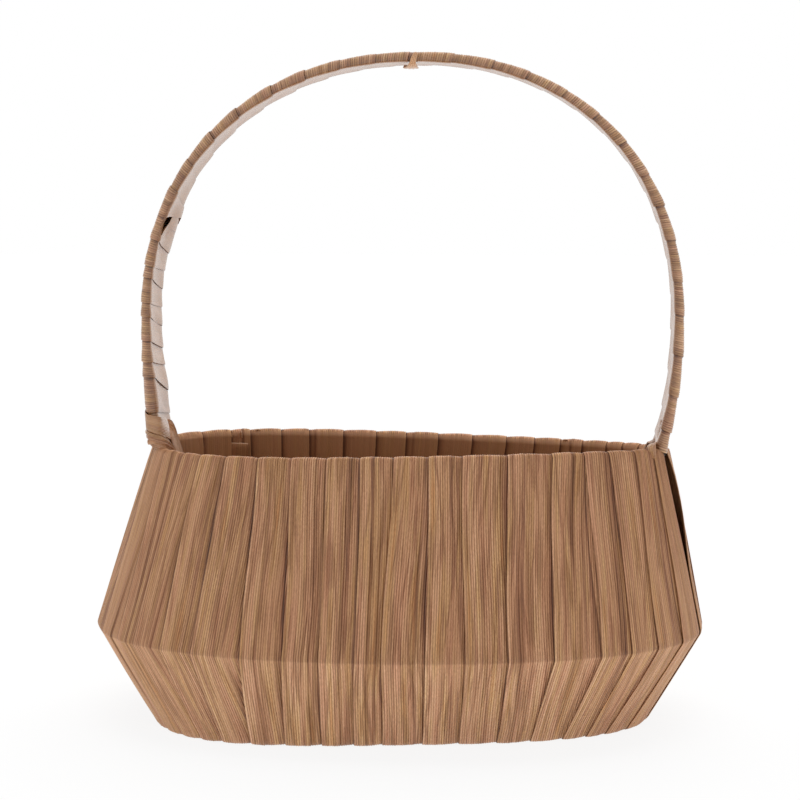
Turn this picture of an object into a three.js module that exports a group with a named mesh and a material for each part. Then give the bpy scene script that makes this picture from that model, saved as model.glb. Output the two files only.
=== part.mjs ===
// Oval basket with a tall bow handle, millimetres, +Z up.
//
// Three wire hoops, a rim, a wide low shoulder and a base, are held apart by bent uprights, as in a
// lampshade frame. Two parallel wires stand on the rim hoop and make the bow. Four lengths of corded
// ribbon are wound over the rim, down the outside, under the base and up the inside, each turn lapping
// the one before it, and a fifth length is wound round both handle wires. A board closes the floor.
//
// The origin is on the surface that the basket stands on, below the middle of the shoulder.
// X runs along the oval, Y from front to back.

import * as THREE from 'three';
import { mergeVertices } from 'three/addons/utils/BufferGeometryUtils.js';

// Hoops: half length, half depth and height of each wire's centre line
const RIM_HALF_LENGTH = 125;
const RIM_HALF_DEPTH = 44.3;
const RIM_HEIGHT = 129.6;
const RIM_SHIFT = 4.4;
const RIM_TWIST = -3.5;
const RIM_WIRE_RADIUS = 1.75;

const SHOULDER_HALF_LENGTH = 146.4;
const SHOULDER_HALF_DEPTH = 85.8;
const SHOULDER_HEIGHT = 45.2;
const SHOULDER_SHIFT = -0.6;
const SHOULDER_TWIST = -2;
const SHOULDER_WIRE_RADIUS = 1.5;

const BASE_HALF_LENGTH = 119.4;
const BASE_HALF_DEPTH = 67.2;
const BASE_SHIFT = 1.4;
const BASE_FULLER_LEFT = 0.1;
const BASE_TURN_DEGREES = 4;
const BASE_WIRE_RADIUS = 1.75;

const HOOP_SQUARENESS = 2.32;
const BASE_SQUARENESS = 3.1;

// Uprights
const UPRIGHT_COUNT = 8;
const UPRIGHT_RADIUS = 1.25;

// Ribbon on the walls
const RIBBON_THICKNESS = 0.6;
const LAP_RISE = 1.45;
const LAP_SHARE = 0.06;
const LONG_SIDE_TURNS = 17;
const END_TURNS = 2;
const SHOULDER_END_ARC = 26;
const BASE_END_ARC = 20;
const RIM_GATHER = 0.25;
const SHOULDER_GATHER = 0.08;
const BASE_GATHER_LEFT = 0.3;
const BASE_GATHER_RIGHT = 0;

// Bow handle: the arch is measured on the middle of its thickness
const ARCH_CENTRE = 5.7;
const ARCH_HALF_SPAN = 129.2;
const ARCH_SPRING_HEIGHT = 194;
const ARCH_RISE = 126.2;
const ARCH_LEAN = 1.0;
const ARCH_SQUARENESS = 2.17;
const HANDLE_WIRE_SPACING = 25.6;
const HANDLE_WIRE_RADIUS = 1;
const LEFT_FOOT_CURL = 3.6;
const RIGHT_FOOT_CURL = 2.5;
const HANDLE_TURNS = 22;
const HANDLE_RIBBON_THICKNESS = 0.4;
const HANDLE_LAP_RISE = 1.4;

// Binding round each foot of the handle
const BINDING_TURNS = 2;
const BINDING_HEIGHT = 15;
const BINDING_THICKNESS = 0.6;
const BINDING_LAP_RISE = 1.3;

// Floor
const BOARD_THICKNESS = 3;
const BOARD_EDGE_ROUND = 0.6;

// Clearances
const SEAT_GAP = 0.3;
const WRAP_GAP = 0.35;
const HANDLE_WRAP_GAP = 0.55;

// Facets
const TABLE_STEPS = 720;
const HOOP_STEPS = 72;
const HOOP_SIDES = 6;
const WIRE_SIDES = 8;
const UPRIGHT_SIDES = 6;
const LEG_STEPS = 6;
const ARCH_STEPS = 30;
const BOARD_STEPS = 72;
const BOW_DIVISIONS = 1200;
const MERGE_DISTANCE = 0.0001;

// Lengths between which a hoop's direction is measured, and points across a ribbon for its least gap
const TANGENT_STEP = 1;
const GAP_POINTS = 24;
const GAP_ROWS = 4;

const UP = new THREE.Vector3(0, 0, 1);

const ribbonMaterial = new THREE.MeshStandardMaterial({ color: 0x9a765c, roughness: 0.5, metalness: 0 });
const handleRibbonMaterial = new THREE.MeshStandardMaterial({ color: 0x94705a, roughness: 0.45, metalness: 0 });
const wireMaterial = new THREE.MeshStandardMaterial({ color: 0x77736c, roughness: 0.45, metalness: 0.9 });
const boardMaterial = new THREE.MeshStandardMaterial({ color: 0xa98a66, roughness: 0.8, metalness: 0 });

const basket = new THREE.Group();

function addPiece(name, geometry, material) {
  const mesh = new THREE.Mesh(geometry, material);
  mesh.name = name;
  basket.add(mesh);
}

// Joins a row of closed section loops, all with the same number of points, into one body.
// A ring of sections closes on itself, and any other row gets a cap at each end.
// Each patch is split along its shorter diagonal, so that both faces of a twisted ribbon bend
// along the same lines and it keeps its thickness.
function loft(sections, ring) {
  const sides = sections[0].length;
  const rows = sections.length;
  const positions = sections.flat().flatMap((p) => [p.x, p.y, p.z]);
  const index = [];
  const spans = ring ? rows : rows - 1;
  for (let row = 0; row < spans; row++) {
    const next = (row + 1) % rows;
    for (let side = 0; side < sides; side++) {
      const turn = (side + 1) % sides;
      const a = row * sides + side;
      const b = row * sides + turn;
      const c = next * sides + turn;
      const d = next * sides + side;
      const points = [sections[row][side], sections[row][turn], sections[next][turn], sections[next][side]];
      if (points[0].distanceTo(points[2]) < points[1].distanceTo(points[3])) index.push(a, b, c, a, c, d);
      else index.push(a, b, d, b, c, d);
    }
  }
  if (!ring) {
    const last = (rows - 1) * sides;
    for (let low = 0, high = sides - 1; high - low > 1;) {
      index.push(low, high, low + 1);
      index.push(last + low, last + low + 1, last + high);
      low++;
      if (high - low > 1) {
        index.push(low, high, high - 1);
        index.push(last + low, last + high - 1, last + high);
        high--;
      }
    }
  }
  const geometry = new THREE.BufferGeometry();
  geometry.setAttribute('position', new THREE.Float32BufferAttribute(positions, 3));
  geometry.setIndex(index);
  return geometry;
}

// A hoop is a superellipse in plan, fuller at one end if need be. Places on it are given by the length along it in plan, counted
// from the middle of the front towards the right end, and height is added afterwards.
function makeHoop({
  halfLength,
  halfDepth,
  squareness,
  height,
  wireRadius,
  shift = 0,
  twist = 0,
  fullerLeft = 0,
  turnDegrees = 0,
}) {
  const power = 2 / squareness;
  const turned = THREE.MathUtils.degToRad(turnDegrees);
  const plan = [];
  let length = 0;
  for (let step = 0; step <= TABLE_STEPS; step++) {
    const angle = -Math.PI / 2 + (2 * Math.PI * step) / TABLE_STEPS;
    const x = Math.sign(Math.cos(angle)) * Math.abs(Math.cos(angle)) ** power;
    const y = Math.sign(Math.sin(angle)) * Math.abs(Math.sin(angle)) ** power;
    const point = new THREE.Vector3(halfLength * x, halfDepth * y * (1 - fullerLeft * x), height + twist * x * y);
    point.applyAxisAngle(UP, turned);
    point.x += shift;
    if (step > 0) {
      length += Math.hypot(point.x - plan[step - 1].point.x, point.y - plan[step - 1].point.y);
    }
    plan.push({ point, length });
  }
  const perimeter = length;
  const rightTip = plan[TABLE_STEPS / 4].length;
  const leftTip = perimeter - plan[(TABLE_STEPS * 3) / 4].length;

  function at(arc) {
    const place = ((arc % perimeter) + perimeter) % perimeter;
    let low = 0;
    let high = TABLE_STEPS;
    while (high - low > 1) {
      const middle = (low + high) >> 1;
      if (plan[middle].length > place) high = middle;
      else low = middle;
    }
    const share = (place - plan[low].length) / (plan[high].length - plan[low].length);
    return plan[low].point.clone().lerp(plan[high].point, share);
  }
  function along(arc) {
    const tangent = at(arc + TANGENT_STEP).sub(at(arc - TANGENT_STEP));
    tangent.z = 0;
    return tangent.normalize();
  }
  function outward(arc) {
    return along(arc).cross(UP);
  }
  // the length from the front middle to where the hoop is this far forward, near the right end
  function arcAtDepth(depth) {
    const step = plan.findIndex(({ point }, i) => i > 0 && point.y >= -depth);
    const before = plan[step - 1];
    const after = plan[step];
    const share = (-depth - before.point.y) / (after.point.y - before.point.y);
    return before.length + share * (after.length - before.length);
  }
  // the length at a share of the way round by angle, which is closest where the hoop turns most
  function arcAtTurn(share) {
    return plan[Math.round(TABLE_STEPS * share)].length;
  }
  return { at, along, outward, arcAtDepth, arcAtTurn, perimeter, rightTip, leftTip, wireRadius };
}

const baseHeight = BASE_WIRE_RADIUS + WRAP_GAP + LAP_RISE + RIBBON_THICKNESS;

const rim = makeHoop({
  halfLength: RIM_HALF_LENGTH,
  halfDepth: RIM_HALF_DEPTH,
  squareness: HOOP_SQUARENESS,
  shift: RIM_SHIFT,
  height: RIM_HEIGHT,
  twist: RIM_TWIST,
  wireRadius: RIM_WIRE_RADIUS,
});
const shoulder = makeHoop({
  halfLength: SHOULDER_HALF_LENGTH,
  halfDepth: SHOULDER_HALF_DEPTH,
  squareness: HOOP_SQUARENESS,
  height: SHOULDER_HEIGHT,
  shift: SHOULDER_SHIFT,
  twist: SHOULDER_TWIST,
  wireRadius: SHOULDER_WIRE_RADIUS,
});
const base = makeHoop({
  halfLength: BASE_HALF_LENGTH,
  halfDepth: BASE_HALF_DEPTH,
  squareness: BASE_SQUARENESS,
  shift: BASE_SHIFT,
  height: baseHeight,
  fullerLeft: BASE_FULLER_LEFT,
  turnDegrees: BASE_TURN_DEGREES,
  wireRadius: BASE_WIRE_RADIUS,
});

// A round wire section, turned so that its sides lie evenly about the outward direction
function wireSection(centre, outward, upward, radius, sides) {
  const points = [];
  for (let side = 0; side < sides; side++) {
    const angle = (2 * Math.PI * side) / sides;
    points.push(
      centre
        .clone()
        .addScaledVector(outward, radius * Math.cos(angle))
        .addScaledVector(upward, -radius * Math.sin(angle))
    );
  }
  return points;
}

function hoopGeometry(hoop) {
  const sections = [];
  for (let step = 0; step < HOOP_STEPS; step++) {
    const arc = hoop.arcAtTurn(step / HOOP_STEPS);
    sections.push(wireSection(hoop.at(arc), hoop.outward(arc), UP, hoop.wireRadius, HOOP_SIDES));
  }
  return loft(sections, true);
}

// How far short of a hoop's centre line an upright's square end stops, as it may meet it at a slant
function endStandOff(hoop, arc, direction) {
  const slant = Math.abs(direction.dot(hoop.along(arc)));
  return (hoop.wireRadius + SEAT_GAP + UPRIGHT_RADIUS * slant) / Math.sqrt(1 - slant * slant);
}

// A bent wire from the rim hoop, behind the shoulder hoop, to the base hoop
function uprightGeometry(share) {
  const top = rim.at(rim.perimeter * share);
  const knee = shoulder.at(shoulder.perimeter * share);
  const foot = base.at(base.perimeter * share);
  const outward = shoulder.outward(shoulder.perimeter * share);
  knee.addScaledVector(outward, -(SHOULDER_WIRE_RADIUS + SEAT_GAP + UPRIGHT_RADIUS));
  const down = knee.clone().sub(top).normalize();
  const drop = foot.clone().sub(knee).normalize();
  top.addScaledVector(down, endStandOff(rim, rim.perimeter * share, down));
  foot.addScaledVector(drop, -endStandOff(base, base.perimeter * share, drop));
  const bend = down.clone().add(drop).normalize();
  const side = shoulder.along(shoulder.perimeter * share);
  const sections = [
    [top, down],
    [knee, bend],
    [foot, drop],
  ].map(([centre, direction]) => {
    const across = side.clone().addScaledVector(direction, -side.dot(direction)).normalize();
    const face = across.clone().cross(direction);
    return wireSection(centre, across, face, UPRIGHT_RADIUS, UPRIGHT_SIDES);
  });
  return loft(sections, false);
}

// Seams: the places where one turn of wall ribbon ends and the next begins, on each hoop.
// Along a long side the turns are widest in the middle and gather towards the ends.
function spread(v, gather) {
  return v + (gather * Math.sin(Math.PI * v)) / Math.PI;
}

function seamArcs(hoop, endArc, gatherAt) {
  const arcs = [];
  const frontStart = -(hoop.leftTip - endArc);
  const frontEnd = hoop.rightTip - endArc;
  const backStart = hoop.rightTip + endArc;
  const backEnd = hoop.perimeter - hoop.leftTip - endArc;
  const longSide = (start, end, heading) => {
    for (let turn = 0; turn < LONG_SIDE_TURNS; turn++) {
      const v = (2 * turn) / LONG_SIDE_TURNS - 1;
      arcs.push((start + end) / 2 + ((end - start) / 2) * spread(v, gatherAt(v * heading)));
    }
  };
  const shortEnd = (start, end) => {
    for (let turn = 0; turn < END_TURNS; turn++) {
      arcs.push(start + ((end - start) * turn) / END_TURNS);
    }
  };
  longSide(frontStart, frontEnd, 1);
  shortEnd(frontEnd, backStart);
  longSide(backStart, backEnd, -1);
  shortEnd(backEnd, backEnd + 2 * endArc);
  return arcs;
}

const wireDepth = HANDLE_WIRE_SPACING / 2;
const footArc = rim.rightTip - rim.arcAtDepth(wireDepth);
const baseGather = (v) => BASE_GATHER_LEFT + ((BASE_GATHER_RIGHT - BASE_GATHER_LEFT) * (v + 1)) / 2;
const rimSeams = seamArcs(rim, footArc, () => RIM_GATHER);
const shoulderSeams = seamArcs(shoulder, SHOULDER_END_ARC, () => SHOULDER_GATHER);
const baseSeams = seamArcs(base, BASE_END_ARC, baseGather);
const turnCount = rimSeams.length;

function seam(arcs, hoop, turn) {
  const round = Math.floor(turn / turnCount);
  return arcs[turn - round * turnCount] + round * hoop.perimeter;
}

// The three lengths across a turn on one hoop: its raised edge, its middle and its tucked edge.
// Each edge laps the next turn, or stands back from a handle wire that comes through there.
function turnArcs(hoop, arcs, turn, standBack) {
  const start = seam(arcs, hoop, turn);
  const end = seam(arcs, hoop, turn + 1);
  const lap = LAP_SHARE * (end - start);
  const left = standBack.left ? start + standBack.by : start - lap;
  const right = standBack.right ? end - standBack.by : end + lap;
  return [left, (left + right) / 2, right];
}

const NO_STAND_BACK = { left: false, right: false, by: 0 };

// A section of ribbon lying on a hoop: under face first, then outer face, raised edge to tucked edge
function ribbonSection(hoop, arcs, facing) {
  const under = [];
  const outer = [];
  arcs.forEach((arc, i) => {
    const level = LAP_RISE * (1 - i / (arcs.length - 1));
    const direction = facing(arc, i);
    const reach = hoop.wireRadius + WRAP_GAP + level;
    const centre = hoop.at(arc);
    under.push(centre.clone().addScaledVector(direction, reach));
    outer.push(centre.clone().addScaledVector(direction, reach + RIBBON_THICKNESS));
  });
  return [...under, ...outer.reverse()];
}

// The direction in which a ribbon that runs from one hoop to the next lies away from both wires
function tangentFacing(hoop, from, fromArcs, to, toArcs) {
  return (arc, i) => {
    const run = to.at(toArcs[i]).sub(from.at(fromArcs[i]));
    return run.cross(hoop.along(arc)).normalize();
  };
}

// A direction round a hoop's wire, in degrees above straight outward
function roundFacing(hoop, degrees) {
  const angle = THREE.MathUtils.degToRad(degrees);
  return (arc) => hoop.outward(arc).multiplyScalar(Math.cos(angle)).addScaledVector(UP, Math.sin(angle));
}

const OVER_RIM = [145, 100, 60];
const UNDER_BASE = [-58, -90];
const UP_INSIDE = -130;
const FINISH_FACING = -104;

// One length of ribbon, wound from the inside of the base up and over for each of its turns
function wallRibbon(firstTurn, turns) {
  const sections = [];
  const byWire = HANDLE_WIRE_RADIUS + WRAP_GAP;
  let before = turnArcs(base, baseSeams, firstTurn - 1, NO_STAND_BACK);
  for (let turn = firstTurn; turn < firstTurn + turns; turn++) {
    const standBack = { left: turn === firstTurn, right: turn === firstTurn + turns - 1, by: byWire };
    const onRim = turnArcs(rim, rimSeams, turn, standBack);
    const onShoulder = turnArcs(shoulder, shoulderSeams, turn, NO_STAND_BACK);
    const onBase = turnArcs(base, baseSeams, turn, NO_STAND_BACK);
    const lay = (hoop, arcs, facing) => sections.push(ribbonSection(hoop, arcs, facing));
    const layRun = (from, fromArcs, to, toArcs, { twisted }) => {
      const first = ribbonSection(from, fromArcs, tangentFacing(from, from, fromArcs, to, toArcs));
      const last = ribbonSection(to, toArcs, tangentFacing(to, from, fromArcs, to, toArcs));
      sections.push(first);
      if (twisted) sections.push(first.map((point, i) => point.clone().add(last[i]).divideScalar(2)));
      sections.push(last);
    };
    lay(base, before, roundFacing(base, UP_INSIDE));
    layRun(base, before, rim, onRim, { twisted: true });
    OVER_RIM.forEach((degrees) => lay(rim, onRim, roundFacing(rim, degrees)));
    layRun(rim, onRim, shoulder, onShoulder, { twisted: false });
    layRun(shoulder, onShoulder, base, onBase, { twisted: true });
    UNDER_BASE.forEach((degrees) => lay(base, onBase, roundFacing(base, degrees)));
    if (standBack.right) lay(base, onBase, roundFacing(base, FINISH_FACING));
    before = onBase;
  }
  return sections;
}

// The bow: a superelliptic arch on two legs whose feet curl in to the rim hoop
function archPoint(side, share) {
  const angle = (Math.PI / 2) * share;
  const power = 2 / ARCH_SQUARENESS;
  return new THREE.Vector3(
    ARCH_CENTRE + side * ARCH_HALF_SPAN * Math.cos(angle) ** power,
    0,
    ARCH_SPRING_HEIGHT + ARCH_RISE * Math.sin(angle) ** power + side * ARCH_LEAN * Math.sin(2 * angle)
  );
}

// The place on the rim hoop below the foot of one wire, at one end and to the front or the back
function footSeat(side, depth) {
  const tip = side < 0 ? -rim.leftTip : rim.rightTip;
  const turnedBy = depth * side > 0 ? footArc : -footArc;
  return rim.at(tip + turnedBy);
}

const footHeight = RIM_HEIGHT + RIM_WIRE_RADIUS + SEAT_GAP;

function legPoints(side) {
  const curl = side < 0 ? LEFT_FOOT_CURL : RIGHT_FOOT_CURL;
  const seat = footSeat(side, -1);
  const legLine = ARCH_CENTRE + side * ARCH_HALF_SPAN;
  const points = [];
  for (let step = 0; step < LEG_STEPS; step++) {
    const share = 1 - step / LEG_STEPS;
    const x = legLine + (seat.x - legLine) * share ** curl;
    const z = ARCH_SPRING_HEIGHT + (footHeight - ARCH_SPRING_HEIGHT) * share;
    points.push(new THREE.Vector3(x, 0, z));
  }
  return points;
}

const bowPoints = [...legPoints(-1)];
for (let step = 0; step <= ARCH_STEPS / 2; step++) {
  bowPoints.push(archPoint(-1, (2 * step) / ARCH_STEPS));
}
for (let step = ARCH_STEPS / 2 - 1; step >= 0; step--) {
  bowPoints.push(archPoint(1, (2 * step) / ARCH_STEPS));
}
bowPoints.push(...legPoints(1).reverse());
const bow = new THREE.CatmullRomCurve3(bowPoints, false, 'centripetal');
bow.arcLengthDivisions = BOW_DIVISIONS;
const bowLength = bow.getLength();

// Each wire follows the bow, and its legs reach a little further or less far to stand on the rim hoop
function handleWireGeometry(depth) {
  const points = bow.getSpacedPoints(ARCH_STEPS + 2 * LEG_STEPS);
  const sections = points.map((point, i) => {
    const side = point.x < ARCH_CENTRE ? -1 : 1;
    const extra = footSeat(side, depth).z - RIM_HEIGHT;
    const down = Math.max((ARCH_SPRING_HEIGHT - point.z) / (ARCH_SPRING_HEIGHT - footHeight), 0);
    const centre = new THREE.Vector3(point.x, depth, point.z + extra * down);
    const tangent = bow.getTangentAt(i / (points.length - 1));
    const across = new THREE.Vector3(0, 1, 0);
    return wireSection(centre, tangent.cross(across), across, HANDLE_WIRE_RADIUS, WIRE_SIDES);
  });
  return loft(sections, false);
}

// Where a ribbon passes on its way round both handle wires, with the way it lies from each: across
// the inside of the bow to the front wire, round it, and back over the outside
const WAY_ROUND = [
  { depth: -1, facing: 270 },
  { depth: -1, facing: 210 },
  { depth: -1, facing: 150 },
  { depth: -1, facing: 90 },
  { depth: 1, facing: 90 },
  { depth: 1, facing: 30 },
  { depth: 1, facing: -30 },
  { depth: 1, facing: -90 },
];

// A ribbon wound round both wires between two lengths along the bow. Its first and last turns are
// trimmed square to the bow, so that nothing of the wires shows between them and the two lengths.
function bowRibbon({ start, end, turns, clear, thickness, rise }) {
  const trimmedWidth = 2 * LAP_SHARE;
  const pitch = (end - start) / (turns - 1 + 2 * (trimmedWidth - LAP_SHARE));
  const halfWidth = (0.5 + LAP_SHARE) * pitch;
  const around = HANDLE_WIRE_RADIUS + clear + rise / 2;
  const roundWire = Math.PI * around;
  const loop = 2 * roundWire + 2 * HANDLE_WIRE_SPACING;
  const first = start + trimmedWidth * pitch - halfWidth;
  const sections = [];
  for (let stop = 0; stop <= turns * WAY_ROUND.length; stop++) {
    const turn = Math.floor(stop / WAY_ROUND.length);
    const { depth, facing } = WAY_ROUND[stop % WAY_ROUND.length];
    const angle = THREE.MathUtils.degToRad(facing);
    const gone =
      depth < 0
        ? (around * ((3 * Math.PI) / 2 - angle)) / loop
        : (roundWire + HANDLE_WIRE_SPACING + around * (Math.PI / 2 - angle)) / loop;
    const middle = first + pitch * (turn + gone);
    const left = Math.max(middle - halfWidth, start);
    const right = Math.min(middle + halfWidth, end);
    const under = [];
    const outer = [];
    for (const along of [left, (left + right) / 2, right]) {
      const place = along / bowLength;
      const spot = bow.getPointAt(place);
      const tangent = bow.getTangentAt(place);
      const direction = new THREE.Vector3(-tangent.z, 0, tangent.x).multiplyScalar(Math.sin(angle));
      direction.y = Math.cos(angle);
      spot.y = depth * wireDepth;
      const reach = HANDLE_WIRE_RADIUS + clear + (rise * (middle + halfWidth - along)) / (2 * halfWidth);
      under.push(spot.clone().addScaledVector(direction, reach));
      outer.push(spot.clone().addScaledVector(direction, reach + thickness));
    }
    sections.push([...outer, ...under.reverse()]);
  }
  return sections;
}

// The least distance between one face of each turn and the near face of the next, on points across
// the sections and across what lies between them
function leastGap(sections, perTurn) {
  const half = sections[0].length / 2;
  const facePoints = (row, share, first) => {
    const points = [];
    for (let i = first; i < first + half - 1; i++) {
      for (let k = 0; k <= GAP_POINTS; k++) {
        const near = sections[row][i].clone().lerp(sections[row][i + 1], k / GAP_POINTS);
        const far = sections[row + 1][i].clone().lerp(sections[row + 1][i + 1], k / GAP_POINTS);
        points.push(near.lerp(far, share));
      }
    }
    return points;
  };
  let least = Infinity;
  for (let row = 0; row + perTurn + 1 < sections.length; row++) {
    for (let k = 0; k < GAP_ROWS; k++) {
      for (const [face, nextFace] of [[0, half], [half, 0]]) {
        const points = facePoints(row, k / GAP_ROWS, face);
        const others = facePoints(row + perTurn, k / GAP_ROWS, nextFace);
        for (const p of points) {
          for (const q of others) least = Math.min(least, p.distanceTo(q));
        }
      }
    }
  }
  return least;
}

function addRibbon(name, sections, turns, material) {
  const perTurn = (sections.length - 1) / turns;
  console.log(`${name}: least gap between turns ${leastGap(sections, perTurn).toFixed(2)} mm`);
  addPiece(name, loft(sections, false), material);
}

function boardGeometry() {
  const inset = BASE_WIRE_RADIUS + WRAP_GAP + LAP_RISE + RIBBON_THICKNESS + SEAT_GAP;
  const outline = [];
  for (let step = 0; step < BOARD_STEPS; step++) {
    const arc = (base.perimeter * step) / BOARD_STEPS;
    const point = base.at(arc).addScaledVector(base.outward(arc), -inset - BOARD_EDGE_ROUND);
    outline.push(new THREE.Vector2(point.x, point.y));
  }
  const board = new THREE.ExtrudeGeometry(new THREE.Shape(outline), {
    depth: BOARD_THICKNESS - 2 * BOARD_EDGE_ROUND,
    bevelThickness: BOARD_EDGE_ROUND,
    bevelSize: BOARD_EDGE_ROUND,
    bevelSegments: 1,
  });
  board.translate(0, 0, BOARD_EDGE_ROUND);
  board.deleteAttribute('normal');
  board.deleteAttribute('uv');
  return mergeVertices(board, MERGE_DISTANCE);
}

addPiece('rim_hoop', hoopGeometry(rim), wireMaterial);
addPiece('shoulder_hoop', hoopGeometry(shoulder), wireMaterial);
addPiece('base_hoop', hoopGeometry(base), wireMaterial);
for (let i = 0; i < UPRIGHT_COUNT; i++) {
  addPiece(`upright_${i + 1}`, uprightGeometry((i + 0.5) / UPRIGHT_COUNT), wireMaterial);
}
addPiece('handle_front_wire', handleWireGeometry(-wireDepth), wireMaterial);
addPiece('handle_back_wire', handleWireGeometry(wireDepth), wireMaterial);

const wallPieces = [
  ['front_wall_ribbon', 0, LONG_SIDE_TURNS],
  ['right_end_ribbon', LONG_SIDE_TURNS, END_TURNS],
  ['back_wall_ribbon', LONG_SIDE_TURNS + END_TURNS, LONG_SIDE_TURNS],
  ['left_end_ribbon', 2 * LONG_SIDE_TURNS + END_TURNS, END_TURNS],
];
for (const [name, firstTurn, turns] of wallPieces) {
  addRibbon(name, wallRibbon(firstTurn, turns), turns, ribbonMaterial);
}

const highestSeat = Math.max(footSeat(1, -1).z, footSeat(-1, 1).z, footSeat(1, 1).z, footSeat(-1, -1).z);
const wallTop = highestSeat + RIM_WIRE_RADIUS + WRAP_GAP + LAP_RISE + RIBBON_THICKNESS;
const footRise = wallTop + SEAT_GAP - footHeight;
const handleRibbon = bowRibbon({
  start: footRise,
  end: bowLength - footRise,
  turns: HANDLE_TURNS,
  clear: HANDLE_WRAP_GAP,
  thickness: HANDLE_RIBBON_THICKNESS,
  rise: HANDLE_LAP_RISE,
});
addRibbon('handle_ribbon', handleRibbon, HANDLE_TURNS, handleRibbonMaterial);

const overRibbon = HANDLE_WRAP_GAP + HANDLE_LAP_RISE + HANDLE_RIBBON_THICKNESS + SEAT_GAP;
const bindings = [
  ['left_foot_binding', footRise],
  ['right_foot_binding', bowLength - footRise - BINDING_HEIGHT],
];
for (const [name, start] of bindings) {
  const binding = bowRibbon({
    start,
    end: start + BINDING_HEIGHT,
    turns: BINDING_TURNS,
    clear: overRibbon,
    thickness: BINDING_THICKNESS,
    rise: BINDING_LAP_RISE,
  });
  addRibbon(name, binding, BINDING_TURNS, handleRibbonMaterial);
}
addPiece('base_board', boardGeometry(), boardMaterial);

export default basket;
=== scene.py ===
"""An oval basket with a bow handle, dressed round its wire frame.

The walls are turns of corded ribbon wound over three hoops, and the bow is two wires wound with the
same ribbon. Lengths are worked out in millimetres and put into meshes in metres.
"""

import math
from functools import partialmethod

import bpy
import numpy as np
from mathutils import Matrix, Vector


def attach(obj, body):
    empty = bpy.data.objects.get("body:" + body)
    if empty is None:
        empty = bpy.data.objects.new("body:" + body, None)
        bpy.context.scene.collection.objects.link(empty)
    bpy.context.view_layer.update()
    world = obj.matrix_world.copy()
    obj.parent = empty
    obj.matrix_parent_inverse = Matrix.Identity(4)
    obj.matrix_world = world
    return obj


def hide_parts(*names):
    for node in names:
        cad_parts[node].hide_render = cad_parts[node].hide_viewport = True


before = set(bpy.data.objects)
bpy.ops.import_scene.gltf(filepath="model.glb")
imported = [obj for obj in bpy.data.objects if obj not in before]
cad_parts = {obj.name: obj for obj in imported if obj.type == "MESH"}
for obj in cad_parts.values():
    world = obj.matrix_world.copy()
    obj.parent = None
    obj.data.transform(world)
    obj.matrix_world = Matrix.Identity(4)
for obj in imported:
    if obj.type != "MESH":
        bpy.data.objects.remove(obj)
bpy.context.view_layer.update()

MM = 0.001

# Hoops: how square they are, how thick their wires are, and how high two of them lie
HOOP_SQUARENESS = 2.32
BASE_SQUARENESS = 3.1
RIM_WIRE = 1.75
SHOULDER_WIRE = 1.5
BASE_WIRE = 1.75
BASE_HEIGHT = 4.15
RIM_HEIGHT = 129.6

# Corded ribbon
CORD_PITCH = 1.1
CORD_HEIGHT = 0.24
RIBBON_THICKNESS = 0.26
WALL_CORDS = 23
LAYER_STEP = 0.56
RIM_TOP_LEVEL = 0.9
INNER_TOP_LEVEL = 3.05
INNER_STEP = 0.1
LOW_TOP_LEVEL = 1.6
WRAP_GAP = 0.1

# Seams of the wall: where each turn's upper edge lies, along each hoop from the middle of the front
RIM_FRONT = [-130, -121, -109, -99, -85.3, -68.8, -52.4, -35.4, -19.5]
RIM_FRONT += [-3.7, 12.6, 28.7, 49.7, 70.6, 85.9, 98, 111.5, 122]
SHOULDER_FRONT = [-154, -137, -124.7, -108, -91, -66.4, -46.3, -29.4, -13.2]
SHOULDER_FRONT += [-1, 18.8, 37, 56.4, 77.3, 99.8, 115.4, 130.4, 148]
BASE_FRONT = [-130, -116, -105.2, -94.7, -83.8, -69.9, -53.9, -37.1, -22.2]
BASE_FRONT += [-9.1, 9.6, 26.7, 44.4, 60.4, 76.1, 88, 98.3, 111.1]
RIM_BACK = [156.6, 167.6, 177.4, 186.4, 199.4, 211, 224.6, 239.2, 256.9]
RIM_BACK += [274.6, 291.3, 306.9, 324.1, 341.8, 356.4, 372.6, 382.7, 398.4]
SLIT_WIDTH = 7.0
WIDEST_SPREAD = 1.15
END_TURNS = 3

# Bow handle
ARCH_CENTRE = 5.7
ARCH_HALF_SPAN = 129.2
ARCH_SPRING_HEIGHT = 194
ARCH_RISE = 126.2
ARCH_LEAN = 1.0
ARCH_SQUARENESS = 2.17
WIRE_DEPTH = 12.8
HANDLE_WIRE = 1.0
LEFT_FOOT_CURL = 3.15
RIGHT_FOOT_CURL = 2.3
HANDLE_CORDS = 20
HANDLE_THICKNESS = 0.2
HANDLE_STEP = 0.38
HANDLE_TOP = 1.15

# Raised edges of the handle's turns, as lengths along the bow from its left foot. One length of
# ribbon is wound up the left leg, the other from the right foot over the bow, and they meet at a tear
LEFT_EDGES = [1.5, 9.7, 17.9, 35.1, 41.9, 52.8, 65, 71.3, 83.8, 89.3, 102.6, 112, 122, 132]
RIGHT_EDGES = [532.6, 523.1, 505, 485.9, 466.1, 449.7, 430.4, 413.6, 397, 378.8, 361, 342.2, 323.1]
RIGHT_EDGES += [305.7, 286.1, 265.5, 249, 231.8, 214.7, 196.8, 177.4, 160.8, 143.8, 128.6, 114, 100, 86]

# How much of its step along the bow a turn gains on each roll round a wire and on each face
ROLL_GAIN = 0.08
OUTER_GAIN = 0.34
INNER_GAIN = 0.5

# How many turns each length has, the tear where they meet, and where the ribbon is slack or full
LEFT_END = 10.5
RIGHT_END = 24.45
TEAR_DEPTHS = [-1, -0.6, -0.25, 0.0, 0.12, 0.22, 1]
TEAR_PLACES = [105.5, 107, 109.5, 112, 114.5, 119, 119]
TEAR_HIGH = 115.0
SLACK_PLACE = 110.0
SLACK_SPREAD = 15.0
FOOT_FULLNESS = 1.0
LEFT_BULGE = 1.5


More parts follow.
